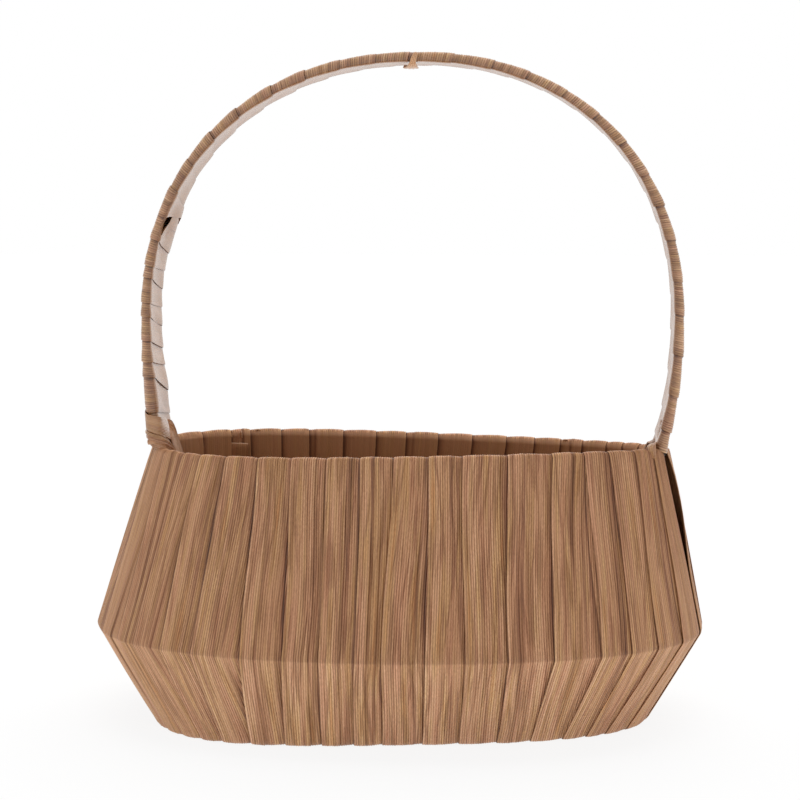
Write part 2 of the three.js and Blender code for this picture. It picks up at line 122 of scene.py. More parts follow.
def unit(vectors):
    """Each vector divided by its own length."""
    return vectors / np.linalg.norm(vectors, axis=-1, keepdims=True)


def smooth(low, high, x):
    """A step from 0 at low to 1 at high, level at both: 3t^2 - 2t^3 of the share t between them."""
    t = np.clip((x - low) / (high - low), 0, 1)
    return t * t * (3 - 2 * t)


def slerp(start, end, share):
    """The direction a share of the way round from one unit vector to another on the arc between them."""
    angle = np.arccos(np.clip((start * end).sum(-1, keepdims=True), -1, 1))
    return (np.sin((1 - share) * angle) * start + np.sin(share * angle) * end) / np.sin(angle)


def running(steps):
    """How far each point lies along, from the steps between neighbours."""
    return np.concatenate([[0], np.cumsum(steps)])


def squared(wave, squareness):
    """A sine or cosine as a superellipse has it: raised to the power 2/n, with its sign kept."""
    return np.sign(wave) * np.abs(wave) ** (2 / squareness)


class Hoop:
    """A superellipse in plan, whose places are told by the length along it from the front middle.

    One end may be fuller, and z is the height plus the twist times both shares. The whole is then
    turned about Z and shifted along X."""

    STEPS = 5760

    def __init__(
        self, half_length, half_depth, squareness, height, wire, shift=0, twist=0, fuller_left=0, turned=0
    ):
        angle = 2 * np.pi * np.arange(self.STEPS + 1) / self.STEPS - np.pi / 2
        x, y = squared(np.cos(angle), squareness), squared(np.sin(angle), squareness)
        across = half_length * x
        deep = half_depth * y * (1 - fuller_left * x)
        c, s = math.cos(math.radians(turned)), math.sin(math.radians(turned))
        plan = [across * c - deep * s + shift, across * s + deep * c, height + twist * x * y]
        self.points = np.stack(plan, -1)
        self.lengths = running(np.hypot(*np.diff(self.points[:, :2], axis=0).T))
        self.perimeter = self.lengths[-1]
        self.wire = wire

    def at(self, arc):
        """The point at each length along the hoop."""
        place = np.mod(arc, self.perimeter)
        return np.stack([np.interp(place, self.lengths, self.points[:, i]) for i in range(3)], -1)

    def along(self, arc):
        """The level unit direction of the hoop at each length."""
        run = self.at(np.asarray(arc) + 0.5) - self.at(np.asarray(arc) - 0.5)
        run[..., 2] = 0
        return unit(run)

    def facing(self, arc, degrees):
        """The direction this many degrees above straight outward."""
        along = self.along(arc)
        outward = np.stack([along[..., 1], -along[..., 0], np.zeros(along.shape[:-1])], -1)
        angle = math.radians(degrees)
        return outward * math.cos(angle) + np.array([0, 0, math.sin(angle)])


# Each hoop's half length, half depth, squareness, height and wire, and how it strays from that
rim = Hoop(125, 44.3, HOOP_SQUARENESS, RIM_HEIGHT, RIM_WIRE, shift=4.4, twist=-3.5)
shoulder = Hoop(146.4, 85.8, HOOP_SQUARENESS, 45.2, SHOULDER_WIRE, shift=-0.6, twist=-2)
base = Hoop(119.4, 67.2, BASE_SQUARENESS, BASE_HEIGHT, BASE_WIRE, shift=1.4, fuller_left=0.1, turned=4)


def all_seams(hoop, front, front_end, back_start, back=None):
    """The seams right round a hoop: the front's, evenly spaced ones at the ends, and the back's, which
    are evenly spaced too unless they are given."""
    back_end = hoop.perimeter + front[0] - (back_start - front_end)
    right = np.linspace(front_end, back_start, END_TURNS, endpoint=False)
    if back is None:
        back = np.linspace(back_start, back_end, BACK_TURNS, endpoint=False)
    left = np.linspace(back_end, hoop.perimeter + front[0], END_TURNS, endpoint=False)
    return np.concatenate([front, right, back, left, [hoop.perimeter + front[0]]])


FRONT_TURNS = len(RIM_FRONT)
BACK_TURNS = len(RIM_BACK)
TURNS = FRONT_TURNS + BACK_TURNS + 2 * END_TURNS
# Each hoop's seams, with the lengths at which its front ends and its back starts
seams = {
    rim: all_seams(rim, RIM_FRONT, 130.6, 156.6, RIM_BACK),
    shoulder: all_seams(shoulder, SHOULDER_FRONT, 171, 223.5),
    base: all_seams(base, BASE_FRONT, 129, 188),
}


def seam(hoop, turn):
    """The length at which a turn's left edge lies on a hoop, for any whole number of turns."""
    around, place = divmod(turn, TURNS)
    return seams[hoop][place] + around * hoop.perimeter


def turn_number(hoop, arc):
    """How many turns lie before each length on a hoop, with the share of the one that it is in."""
    starts = seams[hoop]
    around = np.floor((arc - starts[0]) / hoop.perimeter)
    return around * TURNS + np.interp(arc - around * hoop.perimeter, starts, np.arange(TURNS + 1))


def cord_section(cords, seed, thickness=RIBBON_THICKNESS):
    """Across one ribbon, its cords side by side: lateral places and heights of a closed loop.

    Each cord is a rounded ridge with samples at its valley, flanks and crown, and its own height.
    The loop goes over the cords from left to right and back along the flat under face."""
    own = np.random.default_rng(seed).uniform(0.75, 1.15, cords)
    places = (np.arange(cords)[:, None] + np.array([0, 0.2, 0.5, 0.8])) * CORD_PITCH
    heights = own[:, None] * CORD_HEIGHT * np.array([0, 0.72, 1, 0.72])
    width = cords * CORD_PITCH
    lateral = np.concatenate([places.ravel(), [width, width - 0.05, width / 2, 0.05]])
    height = np.concatenate([thickness + heights.ravel(), [thickness, 0, 0, 0]])
    return lateral, height


def grid_mesh(name, points, uv, floats, material, node, slot):
    """Makes rows of closed loops into a piece: quads between neighbouring rows, and a cap at each end.

    points is rows x loop x 3 in millimetres, uv rows x loop x 2, and floats holds one value for each
    point, or one that all share, under each attribute's name. The piece stands in place of a node."""
    rows, loop = points.shape[:2]
    row, side = np.meshgrid(np.arange(rows - 1), np.arange(loop), indexing="ij")
    turn = (side + 1) % loop
    here, there = row * loop, (row + 1) * loop
    quads = np.stack([here + side, there + side, there + turn, here + turn], -1).reshape(-1, 4)
    caps = np.concatenate([np.arange(loop), (rows - 1) * loop + np.arange(loop)[::-1]])
    corners = np.concatenate([quads.ravel(), caps])
    counts = np.concatenate([np.full(len(quads), 4), [loop, loop]])
    starts = running(counts)[:-1]
    mesh = bpy.data.meshes.new(name)
    mesh.vertices.add(rows * loop)
    mesh.vertices.foreach_set("co", (points.reshape(-1) * MM).astype(np.float32))
    mesh.loops.add(len(corners))
    mesh.loops.foreach_set("vertex_index", corners.astype(np.int32))
    mesh.polygons.add(len(counts))
    mesh.polygons.foreach_set("loop_start", starts.astype(np.int32))
    mesh.polygons.foreach_set("loop_total", counts.astype(np.int32))
    layer = mesh.uv_layers.new(name="ribbon")
    layer.data.foreach_set("uv", (uv.reshape(-1, 2)[corners] * MM).astype(np.float32).ravel())
    for attribute, values in floats.items():
        data = mesh.attributes.new(attribute, "FLOAT", "POINT").data
        data.foreach_set("value", np.broadcast_to(values, (rows, loop)).astype(np.float32).ravel())
    mesh.update(calc_edges=True)
    mesh.validate()
    mesh.shade_smooth()
    mesh.set_sharp_from_angle(angle=math.radians(70))
    mesh.materials.append(material)
    piece = bpy.data.objects.new(name, mesh)
    bpy.context.scene.collection.objects.link(piece)
    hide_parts(node)
    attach(piece, "root")


# Materials

# The ribbon's pattern: lengths and widths in metres, and how far apart two turns or cords lie in it
# Streaks are painted shade of folds where cords lie double
STREAKS = ((0.085, 0.0016), (-0.07, 0.0019), (0.025, 0.0024), (-0.02, 0.0028))
STREAK_LENGTH, STREAK_APART = 0.045, 4.1
STREAK_SEEN = (0.57, 0.67)
DRIFT_LENGTH, DRIFT_APART = 0.02, 1.7
FIBRE_SIZE = (0.0018, 0.0003)
HUE_SIZE = (0.05, 0.0032)
PATCH_SIZE = (0.09, 0.0075)
PATCH_SEEN = (0.42, 0.6)
CORD_APART, SLOW_APART = 3.17, 2.3

# How strongly the pattern shows
OWN_TONE, DRIFT_TONE, LEAST_TONE = 0.45, 0.25, 0.18
MIDDLE_TONE = 0.55
TONE_SPREAD = (0.3, 1.1)
PATCH_MARKED = 0.35
HUE_SHARE = (0.35, 0.8)
HUES = [(0.34, (1, 0.92, 0.98)), (0.5, (1, 1, 1)), (0.62, (0.96, 1, 0.82)), (0.74, (1, 0.86, 0.6))]
# Painted shade in the valleys between cords
VALLEY_LEVELS = (0.46, 1.05)
EVEN_LEVEL = 0.9
NOISE_SPAN = (0.3, 0.7)
FIBRE_DEPTH = 0.2
# How deep the painted shade and light carried by the points goes, and how much browner darker levels turn
SHADE_DEPTH = 0.8
GREEN_FALL, BLUE_FALL = 1.28, 1.55
RELIEF_HEIGHT = 0.00025


class Signal:
    """A node's output that is reckoned with: each step makes one node."""

    def __init__(self, tree, socket):
        self.tree = tree
        self.socket = socket

    def then(self, operation, other=0.0):
        """The outcome of one operation on this signal and another value."""
        return signal(self.tree, "Math", {0: self, 1: other}, operation=operation)

    __add__ = partialmethod(then, "ADD")
    __sub__ = partialmethod(then, "SUBTRACT")
    __mul__ = partialmethod(then, "MULTIPLY")
    __truediv__ = partialmethod(then, "DIVIDE")
    __pow__ = partialmethod(then, "POWER")

    def __rsub__(self, other):
        return signal(self.tree, "Math", {0: other, 1: self}, operation="SUBTRACT")

    def span(self, low, high, to_low=0.0, to_high=1.0):
        """The signal carried from one range to another and held inside it."""
        ends = {"From Min": low, "From Max": high, "To Min": to_low, "To Max": to_high}
        return signal(self.tree, "MapRange", {"Value": self, **ends})


def feed(node, inputs):
    """Links signals to a node's inputs, or sets the inputs to plain values."""
    for key, value in inputs.items():
        if isinstance(value, Signal):
            value.tree.links.new(value.socket, node.inputs[key])
        else:
            node.inputs[key].default_value = value


def add_node(tree, kind, inputs=None, **settings):
    """One shader node with its settings and its inputs."""
    node = tree.nodes.new("ShaderNode" + kind)
    for key, value in settings.items():
        setattr(node, key, value)
    feed(node, inputs or {})
    return node


def signal(tree, kind, inputs=None, which=0, **settings):
    """One output of a new node."""
    return Signal(tree, add_node(tree, kind, inputs, **settings).outputs[which])


def mix_colours(factor, first, second, blend="MIX"):
    """Two colours mixed."""
    inputs = {0: factor, 6: first, 7: second}
    return signal(first.tree, "Mix", inputs, 2, data_type="RGBA", blend_type=blend)


def ramp(factor, stops):
    """A colour ramp through the given places and colours."""
    node = add_node(factor.tree, "ValToRGB", {0: factor})
    elements = node.color_ramp.elements
    while len(elements) < len(stops):
        elements.new(0.5)
    for element, (place, colour) in zip(elements, stops):
        element.position = place
        element.color = (*colour, 1)
    return Signal(factor.tree, node.outputs[0])


def noise(place, detail=2.0, scale=1.0):
    """Noise at a place."""
    return signal(place.tree, "TexNoise", {"Vector": place, "Scale": scale, "Detail": detail})


def spot(x, y, z=0.0):
    """A place made of three values."""
    return signal(x.tree, "CombineXYZ", {0: x, 1: y, 2: z})


def bumped(strength, distance, height):
    """The normal of a face with a fine relief."""
    return signal(height.tree, "Bump", {"Strength": strength, "Distance": distance, "Height": height})


def new_material(name):
    """A new material, its node tree and its shader."""
    material = bpy.data.materials.new(name)
    material.use_nodes = True
    return material, material.node_tree, material.node_tree.nodes["Principled BSDF"]


def attribute(tree, name):
    """The value that each point of a mesh carries under a name."""
    return signal(tree, "Attribute", which="Fac", attribute_name=name)


def cord_pattern(tree):
    """What the ribbon's map tells of each place: the round of its cord, the cord's own tone, long slanting
    streaks of painted shade from folds where cords lie double, fibres, the drift of the hue, and patches
    where the cords lie flat and even. The map runs along the ribbon in U and across it in V."""
    turn = attribute(tree, "turn")
    split = add_node(tree, "SeparateXYZ", {0: signal(tree, "UVMap", uv_map="ribbon")})
    along, across = (Signal(tree, socket) for socket in split.outputs[:2])
    count = across / (CORD_PITCH * MM)
    cord = count.then("FLOOR")
    ridge = (count.then("FRACT") * math.pi).then("SINE")
    place = spot(cord, turn * CORD_APART)
    own = signal(tree, "TexWhiteNoise", {"Vector": place}, noise_dimensions="2D")
    drift = noise(spot(along / DRIFT_LENGTH, cord * DRIFT_APART, turn))
    tone = own * OWN_TONE + drift * DRIFT_TONE + LEAST_TONE
    fold_shade = 0.0
    for slant, width in STREAKS:
        place = spot(along / STREAK_LENGTH, (across + along * slant) / width, turn * STREAK_APART)
        fold_shade = noise(place, 1.5).span(*STREAK_SEEN).then("MAXIMUM", fold_shade)

    def patches(length, width, number, detail=2.0):
        return noise(spot(along / length, across / width, number), detail)

    hue, patch = (patches(*size, turn * SLOW_APART) for size in (HUE_SIZE, PATCH_SIZE))
    return ridge, tone, fold_shade, patches(*FIBRE_SIZE, turn, 3.0), hue, patch.span(*PATCH_SEEN)


def ribbon_material(name, dark, middle, light, roughness, fold_shade_depth, coat, relief):
    """Corded ribbon: toned cords, painted shade in the valleys between cords, streaks of painted shade where
    the ribbon folds, and the painted shade and light in folds and at seams, all of them fainter where the
    ribbon lies calm. What is darker is browner too."""
    material, tree, shader = new_material(name)
    ridge, tone, fold_shade, fibre, hue, patch = cord_pattern(tree)
    lively = 1.0 - attribute(tree, "calm")
    marked = lively * patch.span(0.0, 1.0, 1.0, PATCH_MARKED)
    tone = (tone - MIDDLE_TONE) * marked.span(0.0, 1.0, *TONE_SPREAD) + MIDDLE_TONE
    colour = ramp(tone, [(0.2, dark), (MIDDLE_TONE, middle), (0.9, light)])
    hued = mix_colours(1.0, colour, ramp(hue, HUES), "MULTIPLY")
    colour = mix_colours(lively.span(0.0, 1.0, *HUE_SHARE), colour, hued)
    # Painted shade in the cord valleys and the streaks of folds, and the painted shade and light carried by
    # each point
    valley = (ridge.span(0.0, 0.85, *VALLEY_LEVELS) - EVEN_LEVEL) * marked + EVEN_LEVEL
    fold_shaded = 1.0 - fold_shade * fold_shade_depth * lively
    painted_shading = 1.0 - attribute(tree, "shade") * SHADE_DEPTH
    grain = fibre.span(*NOISE_SPAN, -FIBRE_DEPTH, FIBRE_DEPTH) * lively + 1.0
    level = valley * fold_shaded * painted_shading * grain
    darkened = signal(tree, "CombineColor", {0: level, 1: level**GREEN_FALL, 2: level**BLUE_FALL})
    height = (ridge * 0.6 + fibre * 0.4) * lively
    feed(
        shader,
        {
            "Base Color": mix_colours(1.0, colour, darkened, "MULTIPLY"),
            "Roughness": fibre.span(*NOISE_SPAN, roughness - 0.06, roughness + 0.1),
            "Coat Weight": coat,
            "Coat Roughness": 0.25,
            "Normal": bumped(relief, RELIEF_HEIGHT, height),
        },
    )
    return material


wall_ribbon = ribbon_material(
    "straw ribbon on the walls",
    dark=(0.47, 0.235, 0.116),
    middle=(0.605, 0.32, 0.163),
    light=(0.76, 0.445, 0.25),
    roughness=0.42,
    fold_shade_depth=0.36,
    coat=0.0,
    relief=0.5,
)
handle_ribbon = ribbon_material(
    "straw ribbon on the handle",
    dark=(0.4, 0.2, 0.095),
    middle=(0.53, 0.285, 0.15),
    light=(0.67, 0.41, 0.235),
    roughness=0.3,
    fold_shade_depth=0.3,
    coat=0.6,
    relief=0.12,
)


# Wall ribbons

# The rows of one turn, in the order in which it is wound
UNDER_FACING = -130
INSIDE_STEPS = 6
RIM_SHARES = (0.14, 0.28, 0.42, 0.56, 0.7, 0.85)
UPPER_STEPS = 15
SHOULDER_SHARES = (0.33, 0.67)
LOWER_STEPS = 8
FOOT_SHARES = (0.25, 0.5, 0.75, 0.97)
RIM_START = 2 + INSIDE_STEPS
UPPER_START = RIM_START + len(RIM_SHARES)
LOWER_START = UPPER_START + UPPER_STEPS + len(SHOULDER_SHARES)
FOOT_START = LOWER_START + LOWER_STEPS
INNER_ROWS = slice(0, RIM_START)
CALM_ROWS = slice(0, RIM_START + 2)
RIM_ROWS = slice(RIM_START + 1, UPPER_START)
LOWER_ROWS = slice(LOWER_START, None)
FOOT_ROWS = slice(FOOT_START - 1, None)

# Painted shade and light, calm and relief of a turn; across it, 0 is its raised edge and 1 the edge of the
# next turn
SHOWN_WIDTH = 18
SEAM_SHADE = 0.9
SEAM_REACH = 0.85
INNER_SEAM_REACH = 1.5
BROAD_SHADE = 0.12
BROAD_REACH = 3.2
# Painted highlight at a turn's own raised edge, painted shade towards the front's right end and on the
# inside, and painted light below the shoulder
EDGE_HIGHLIGHT = 0.14
EDGE_SHARE = 0.12
RIGHT_SHADE = 0.07
INNER_SHADES = (0.5, 0.3)
LOWER_PAINTED_LIGHT = 0.33
INNER_CALM = 0.9
END_CALM = 0.6
PLEAT_LIFT = 0.22
PLEAT_SHADE = 0.55
PLEAT_FADE = 4
RIM_ROUND = 0.3
FOOT_ROUND = 0.35
EDGE_CURL = 0.2
INNER_FLATNESS = 0.3


def loop_level(hoop, arc, turn):
    """How far a turn lies off the hoop's wire: one layer lower for each turn that lies over it."""
    top = RIM_TOP_LEVEL if hoop is rim else LOW_TOP_LEVEL
    return np.maximum(top - LAYER_STEP * (turn_number(hoop, arc) - turn), 0)


def inner_level(arc, turn):
    """How far a turn's inner length lies off the base's wire, where it presses on the board's edge."""
    return INNER_TOP_LEVEL - INNER_STEP * (turn_number(base, arc) - turn)


def wall_turn(turn, lateral, scales, own):
    """The rows of one turn of wall ribbon, for each lateral place of its section.

    It goes from under the base up the inside to the rim, round the rim's wire, straight down to the
    shoulder, over its wire and straight down to the base, and round under it. On each hoop a lateral
    place lies that length along from the seam, scaled where the turn is trimmed. Between hoops each
    place runs in a straight line that touches both wires' layers. Returns the under face's points,
    the facings, and the share of the visible turn across which each point lies."""
    rows, facings, shares = [], [], []

    def stop(hoop, number):
        """The hoop, the lateral places' lengths along it, and the turn's number there."""
        return hoop, seam(hoop, number) + lateral * scales.get(hoop, 1), number

    def square(at, start, end):
        """The facings at one stop that are square to the straight way between two."""
        way = end[0].at(end[1]) - start[0].at(start[1])
        return unit(np.cross(way, at[0].along(at[1])))

    def off(at, facing, level):
        hoop, arc, _ = at
        return hoop.at(arc) + facing * (hoop.wire + WRAP_GAP + level)[:, None]

    def share_at(at):
        return turn_number(at[0], at[1]) - at[2]

    def lay(at, facing, level):
        rows.append(off(at, facing, level))
        facings.append(facing)
        shares.append(share_at(at))

    def run(start, level, end, end_level, steps, drift=None, slack=None):
        facing, end_facing = square(start, start, end), square(end, start, end)
        point, end_point = off(start, facing, level), off(end, end_facing, end_level)
        along = unit(start[0].along(start[1]) + end[0].along(end[1]))
        for t in np.linspace(0, 1, steps):
            middle_facing = unit(facing * (1 - t) + end_facing * t)
            across = share_at(start) * (1 - t) + share_at(end) * t
            row = point * (1 - t) + end_point * t
            if drift:
                row = row + along * drift(t) + middle_facing * (slack(t) * np.clip(1 - across, 0, 1))[:, None]
            rows.append(row)
            facings.append(middle_facing)
            shares.append(across)

    def wrap(at, start, end, portions, level):
        for portion in portions:
            lay(at, slerp(start, end, portion), level)

    under = stop(base, turn - 1)
    top, knee, foot = (stop(hoop, turn) for hoop in (rim, shoulder, base))
    pressed = inner_level(under[1], turn - 1)
    high, mid, low = (loop_level(*at) for at in (top, knee, foot))
    below = base.facing(under[1], UNDER_FACING)
    lay(under, below, loop_level(*under))
    wrap(under, below, square(under, under, top), (0.6,), pressed)
    run(under, pressed, top, high, INSIDE_STEPS)
    wrap(top, square(top, under, top), square(top, top, knee), RIM_SHARES, high)
    run(top, high, knee, mid, UPPER_STEPS, own["drift"], own["slack"])
    wrap(knee, square(knee, top, knee), square(knee, knee, foot), SHOULDER_SHARES, mid)
    run(knee, mid, foot, low, LOWER_STEPS, own["low_drift"], own["low_slack"])
    wrap(foot, square(foot, knee, foot), base.facing(foot[1], UNDER_FACING), FOOT_SHARES, low)
    return np.array(rows), np.array(facings), np.array(shares)


def half_waves(t, one, two=0.0):
    """The sum of one half wave and two half waves over a share from 0 to 1."""
    return one * math.sin(math.pi * t) + two * math.sin(2 * math.pi * t)


def turn_habits(turn):
    """How one turn strays from a straight, taut ribbon: its drift sideways and its slack, each a sum
    of half waves that vanish at the hoops, with its own amounts. The first turn after the front's is
    drawn aside, so that a slit opens before it."""
    own = np.random.default_rng(100 + turn)
    a, b, c, d = own.uniform(-1, 1, 4)
    slack, low = own.uniform(0.05, 0.4, 2)
    slit = SLIT_WIDTH if turn == FRONT_TURNS else 0

    def drift(t):
        aside = slit * float(smooth(-0.2, 0.2, t) * (1 - smooth(0.25, 0.72, t)))
        return half_waves(t, 0.9 * a, 0.5 * b) + aside

    return {
        "drift": drift,
        "slack": lambda t: half_waves(t, slack),
        "low_drift": lambda t: half_waves(t, 0.5 * c, 0.2 * d),
        "low_slack": lambda t: half_waves(t, low),
    }


def pleats(turn, lateral, across, raised):
    """Long narrow folds down a turn: left of each fold's line the ribbon is lifted a little, less and less
    with distance, and the line itself gets painted shade. Returns the lift and the painted shade."""
    own = np.random.default_rng(500 + turn)
    lift = np.zeros(across.shape)
    shade = np.zeros(across.shape)
    rows = len(across)
    row = np.arange(rows)[:, None]
    for _ in range(own.integers(1, 4)):
        low, high = np.sort(own.uniform(0, rows, 2))
        place = own.uniform(3, 19)
        lean = own.uniform(-3.5, 3.5)
        reach = own.uniform(1.2, 3.0)
        aside = place + lean * (row / rows - 0.5) - lateral
        fade = smooth(low - PLEAT_FADE, low + PLEAT_FADE, row)
        fade = fade * (1 - smooth(high - PLEAT_FADE, high + PLEAT_FADE, row)) * raised
        lift += PLEAT_LIFT * np.where(aside >= 0, np.exp(-aside / reach), 0) * fade
        shade += PLEAT_SHADE * fade * np.exp(-(((aside + 0.5) / 0.7) ** 2))
    return lift, shade


def wall_shade(turn, across):
    """The painted shade and light of one turn: painted shade along the seam beside the next turn, a painted
    highlight at its own raised edge, painted shade on the inside, painted light below the shoulder, and
    painted shade towards the right end of the front."""
    depth = np.clip(1 - across, 0, 2) * SHOWN_WIDTH
    reach = np.where(np.arange(len(across)) <= RIM_START, INNER_SEAM_REACH, SEAM_REACH)[:, None]
    shade = SEAM_SHADE * np.exp(-depth / reach) + BROAD_SHADE * np.exp(-depth / BROAD_REACH)
    shade = shade * (across < 1.02) - EDGE_HIGHLIGHT * np.exp(-np.clip(across, 0, 2) / EDGE_SHARE)
    shade += RIGHT_SHADE * math.exp(-abs(FRONT_TURNS - 1 - turn) / 2.0)
    shade[INNER_ROWS] += np.linspace(*INNER_SHADES, RIM_START)[:, None]
    shade[LOWER_ROWS] -= LOWER_PAINTED_LIGHT
    return shade


def wall_calm(turn, across):
    """How calm one turn's cords are: nearly all on the inside, and more towards the front's ends."""
    from_end = min(turn % TURNS, abs(FRONT_TURNS - 1 - turn % TURNS) + 1)
    calm = np.full(across.shape, END_CALM * math.exp(-from_end / 2.5))
    calm[CALM_ROWS] = INNER_CALM
    return calm


def ribbon_map(run, lateral):
    """A ribbon's map: the length along it at each row, and the place across it."""
    return np.stack(np.broadcast_arrays(run, lateral), -1)


def wall_piece(name, first, turns, cords, trims, node):
    """One length of wall ribbon in place of its plain solid: its turns one after another, with cords, laps,
    folds, and painted shade and light."""
    lateral, height = cord_section(cords, 11 + first)
    upper = height > 0
    parts = []
    gone = 0.0
    for turn in range(first, first + turns):
        points, facings, across = wall_turn(turn, lateral, trims.get(turn, {}), turn_habits(turn))
        row = np.arange(len(points))[:, None]
        raised = np.where((across < 1) & upper, np.clip((1 - across) * 4, 0, 1), 0)
        lift, shade = pleats(turn, lateral, across, raised)
        shade += wall_shade(turn, across)
        round_over = np.sin(math.pi * np.clip(across, 0, 1)) - 0.8 * np.exp(-np.clip(across, 0, 2) / 0.08)
        lift[RIM_ROWS] += RIM_ROUND * round_over[RIM_ROWS]
        lift[FOOT_ROWS] += FOOT_ROUND * round_over[FOOT_ROWS]
        curl = EDGE_CURL * np.exp(-lateral / 1.6) * (row > UPPER_START)
        relief = (height - RIBBON_THICKNESS) * np.where(row <= RIM_START, INNER_FLATNESS, 1)
        points = points + facings * (np.where(upper, RIBBON_THICKNESS + relief + lift, 0) + curl)[..., None]
        step = np.linalg.norm(np.diff(points[:, len(lateral) // 2], axis=0), axis=-1)
        run = gone + running(step)
        gone = run[-1] + 1.0
        number = np.full(across.shape, float(turn))
        uv = ribbon_map(run[:, None], lateral)
        parts.append((points, uv, number, np.clip(shade, -0.4, 1), wall_calm(turn, across)))
    points, uv, number, shade, calm = (np.concatenate(listed) for listed in zip(*parts))
    floats = {"turn": number, "shade": shade, "calm": calm}
    grid_mesh(name, points, uv, floats, wall_ribbon, node, "wall_ribbon")


def trims_before_slit(end, cords):
    """How the turns before the slit are narrowed, on each hoop, so that none shows in it: they stop
    short of the next turn at the rim and reach under it lower down."""
    width = cords * CORD_PITCH
    tucked = {rim: -0.5, shoulder: 1.6, base: 1.6}
    trims = {}
    for turn in range(end - 2, end):
        rooms = {hoop: seam(hoop, end) - seam(hoop, turn) + spare for hoop, spare in tucked.items()}
        trims[turn] = {hoop: min(WIDEST_SPREAD, room / width) for hoop, room in rooms.items()}
    return trims


RIGHT_START = FRONT_TURNS
BACK_START = FRONT_TURNS + END_TURNS
LEFT_START = BACK_START + BACK_TURNS
NARROW_CORDS = 18
before_slit = trims_before_slit(RIGHT_START, WALL_CORDS)
at_slit = trims_before_slit(RIGHT_START, NARROW_CORDS)
wall_piece("front_wall_turns", 0, FRONT_TURNS - 1, WALL_CORDS, before_slit, "front_wall_ribbon")
wall_piece("front_wall_last_turn", FRONT_TURNS - 1, 1, NARROW_CORDS, at_slit, "front_wall_ribbon")
wall_piece("right_end_turns", RIGHT_START, END_TURNS, WALL_CORDS, {}, "right_end_ribbon")
wall_piece("back_wall_turns", BACK_START, BACK_TURNS, WALL_CORDS, {}, "back_wall_ribbon")
wall_piece("left_end_turns", LEFT_START, END_TURNS, WALL_CORDS, {}, "left_end_ribbon")


# Bow handle

# Where the facings lie, in degrees from straight out of the bow
TURNED_IN = (50, 130)
ON_INSIDE = (118, 165)
# Painted shade on the lee half of the front face, painted light on its lit outer half
LEE_START, LEE_END = (70, 125), (138, 162)
LIT_END = (40, 105)

# How the ribbon lies, and its painted shade and light
WIRE_GAP = 0.15
FOOT_GAP = 0.3
ROLL_ROWS, FACE_ROWS = 9, 8
LEAST_WIDTH = 0.12
LEAN = 0.7
LEFT_STOP, RIGHT_STOP = 124, 108
TORN_LIFT = 0.3
EDGE_DROP = 0.22
WAVE_HEIGHT = 0.28
SLACK_HEIGHT, SLACK_CHANGE = 0.2, 0.22
LOOSENESS = 1.7
SAG = 0.6
INNER_EVENNESS = 0.85
TURN_WIDTH = 15
HANDLE_SEAM_SHADE = (0.9, 0.8)
HANDLE_EDGE_SHADE = (0.25, 0.5)
LEE_SHADE = 0.34
HANDLE_CALM = 0.95


def make_bow():
    """The bow's centre line as lengths and points: two legs whose feet curl in to the rim, the curl
    growing as a power of the share gone down, and a superelliptic arch between them."""
    quarter = rim.STEPS // 4
    end = rim.lengths[quarter]
    foot_arc = end - np.interp(-WIRE_DEPTH, rim.points[: quarter + 1, 1], rim.lengths[: quarter + 1])
    foot_height = RIM_HEIGHT + RIM_WIRE + FOOT_GAP
    share = np.linspace(1, 0, 200, endpoint=False)
    legs = []
    for side, curl in ((-1, LEFT_FOOT_CURL), (1, RIGHT_FOOT_CURL)):
        seat = rim.at(np.array(side * (end - foot_arc)))
        upright = ARCH_CENTRE + side * ARCH_HALF_SPAN
        height = ARCH_SPRING_HEIGHT + (foot_height - ARCH_SPRING_HEIGHT) * share
        legs.append(np.stack([upright + (seat[0] - upright) * share**curl, height], -1))
    angle = np.linspace(0, np.pi, 1200)
    reach, rise = squared(np.cos(angle), ARCH_SQUARENESS), squared(np.sin(angle), ARCH_SQUARENESS)
    height = ARCH_SPRING_HEIGHT + ARCH_RISE * rise - ARCH_LEAN * np.sin(2 * angle)
    arch = np.stack([ARCH_CENTRE - ARCH_HALF_SPAN * reach, height], -1)
    line = np.concatenate([legs[0], arch, legs[1][::-1]])
    return running(np.hypot(*np.diff(line, axis=0).T)), line


bow_lengths, bow_line = make_bow()
BOW_LENGTH = bow_lengths[-1]


def bow_at(place):
    """The bow's point and unit direction in its own upright plane at each length along it, and
    straight on beyond its feet."""

    def on_line(at):
        return np.stack([np.interp(at, bow_lengths, bow_line[:, i]) for i in range(2)], -1)

    held = np.clip(place, 0, BOW_LENGTH)
    middle = np.clip(place, 1.5, BOW_LENGTH - 1.5)
    way = unit(on_line(middle + 1.5) - on_line(middle - 1.5))
    return on_line(held) + way * (place - held)[..., None], way


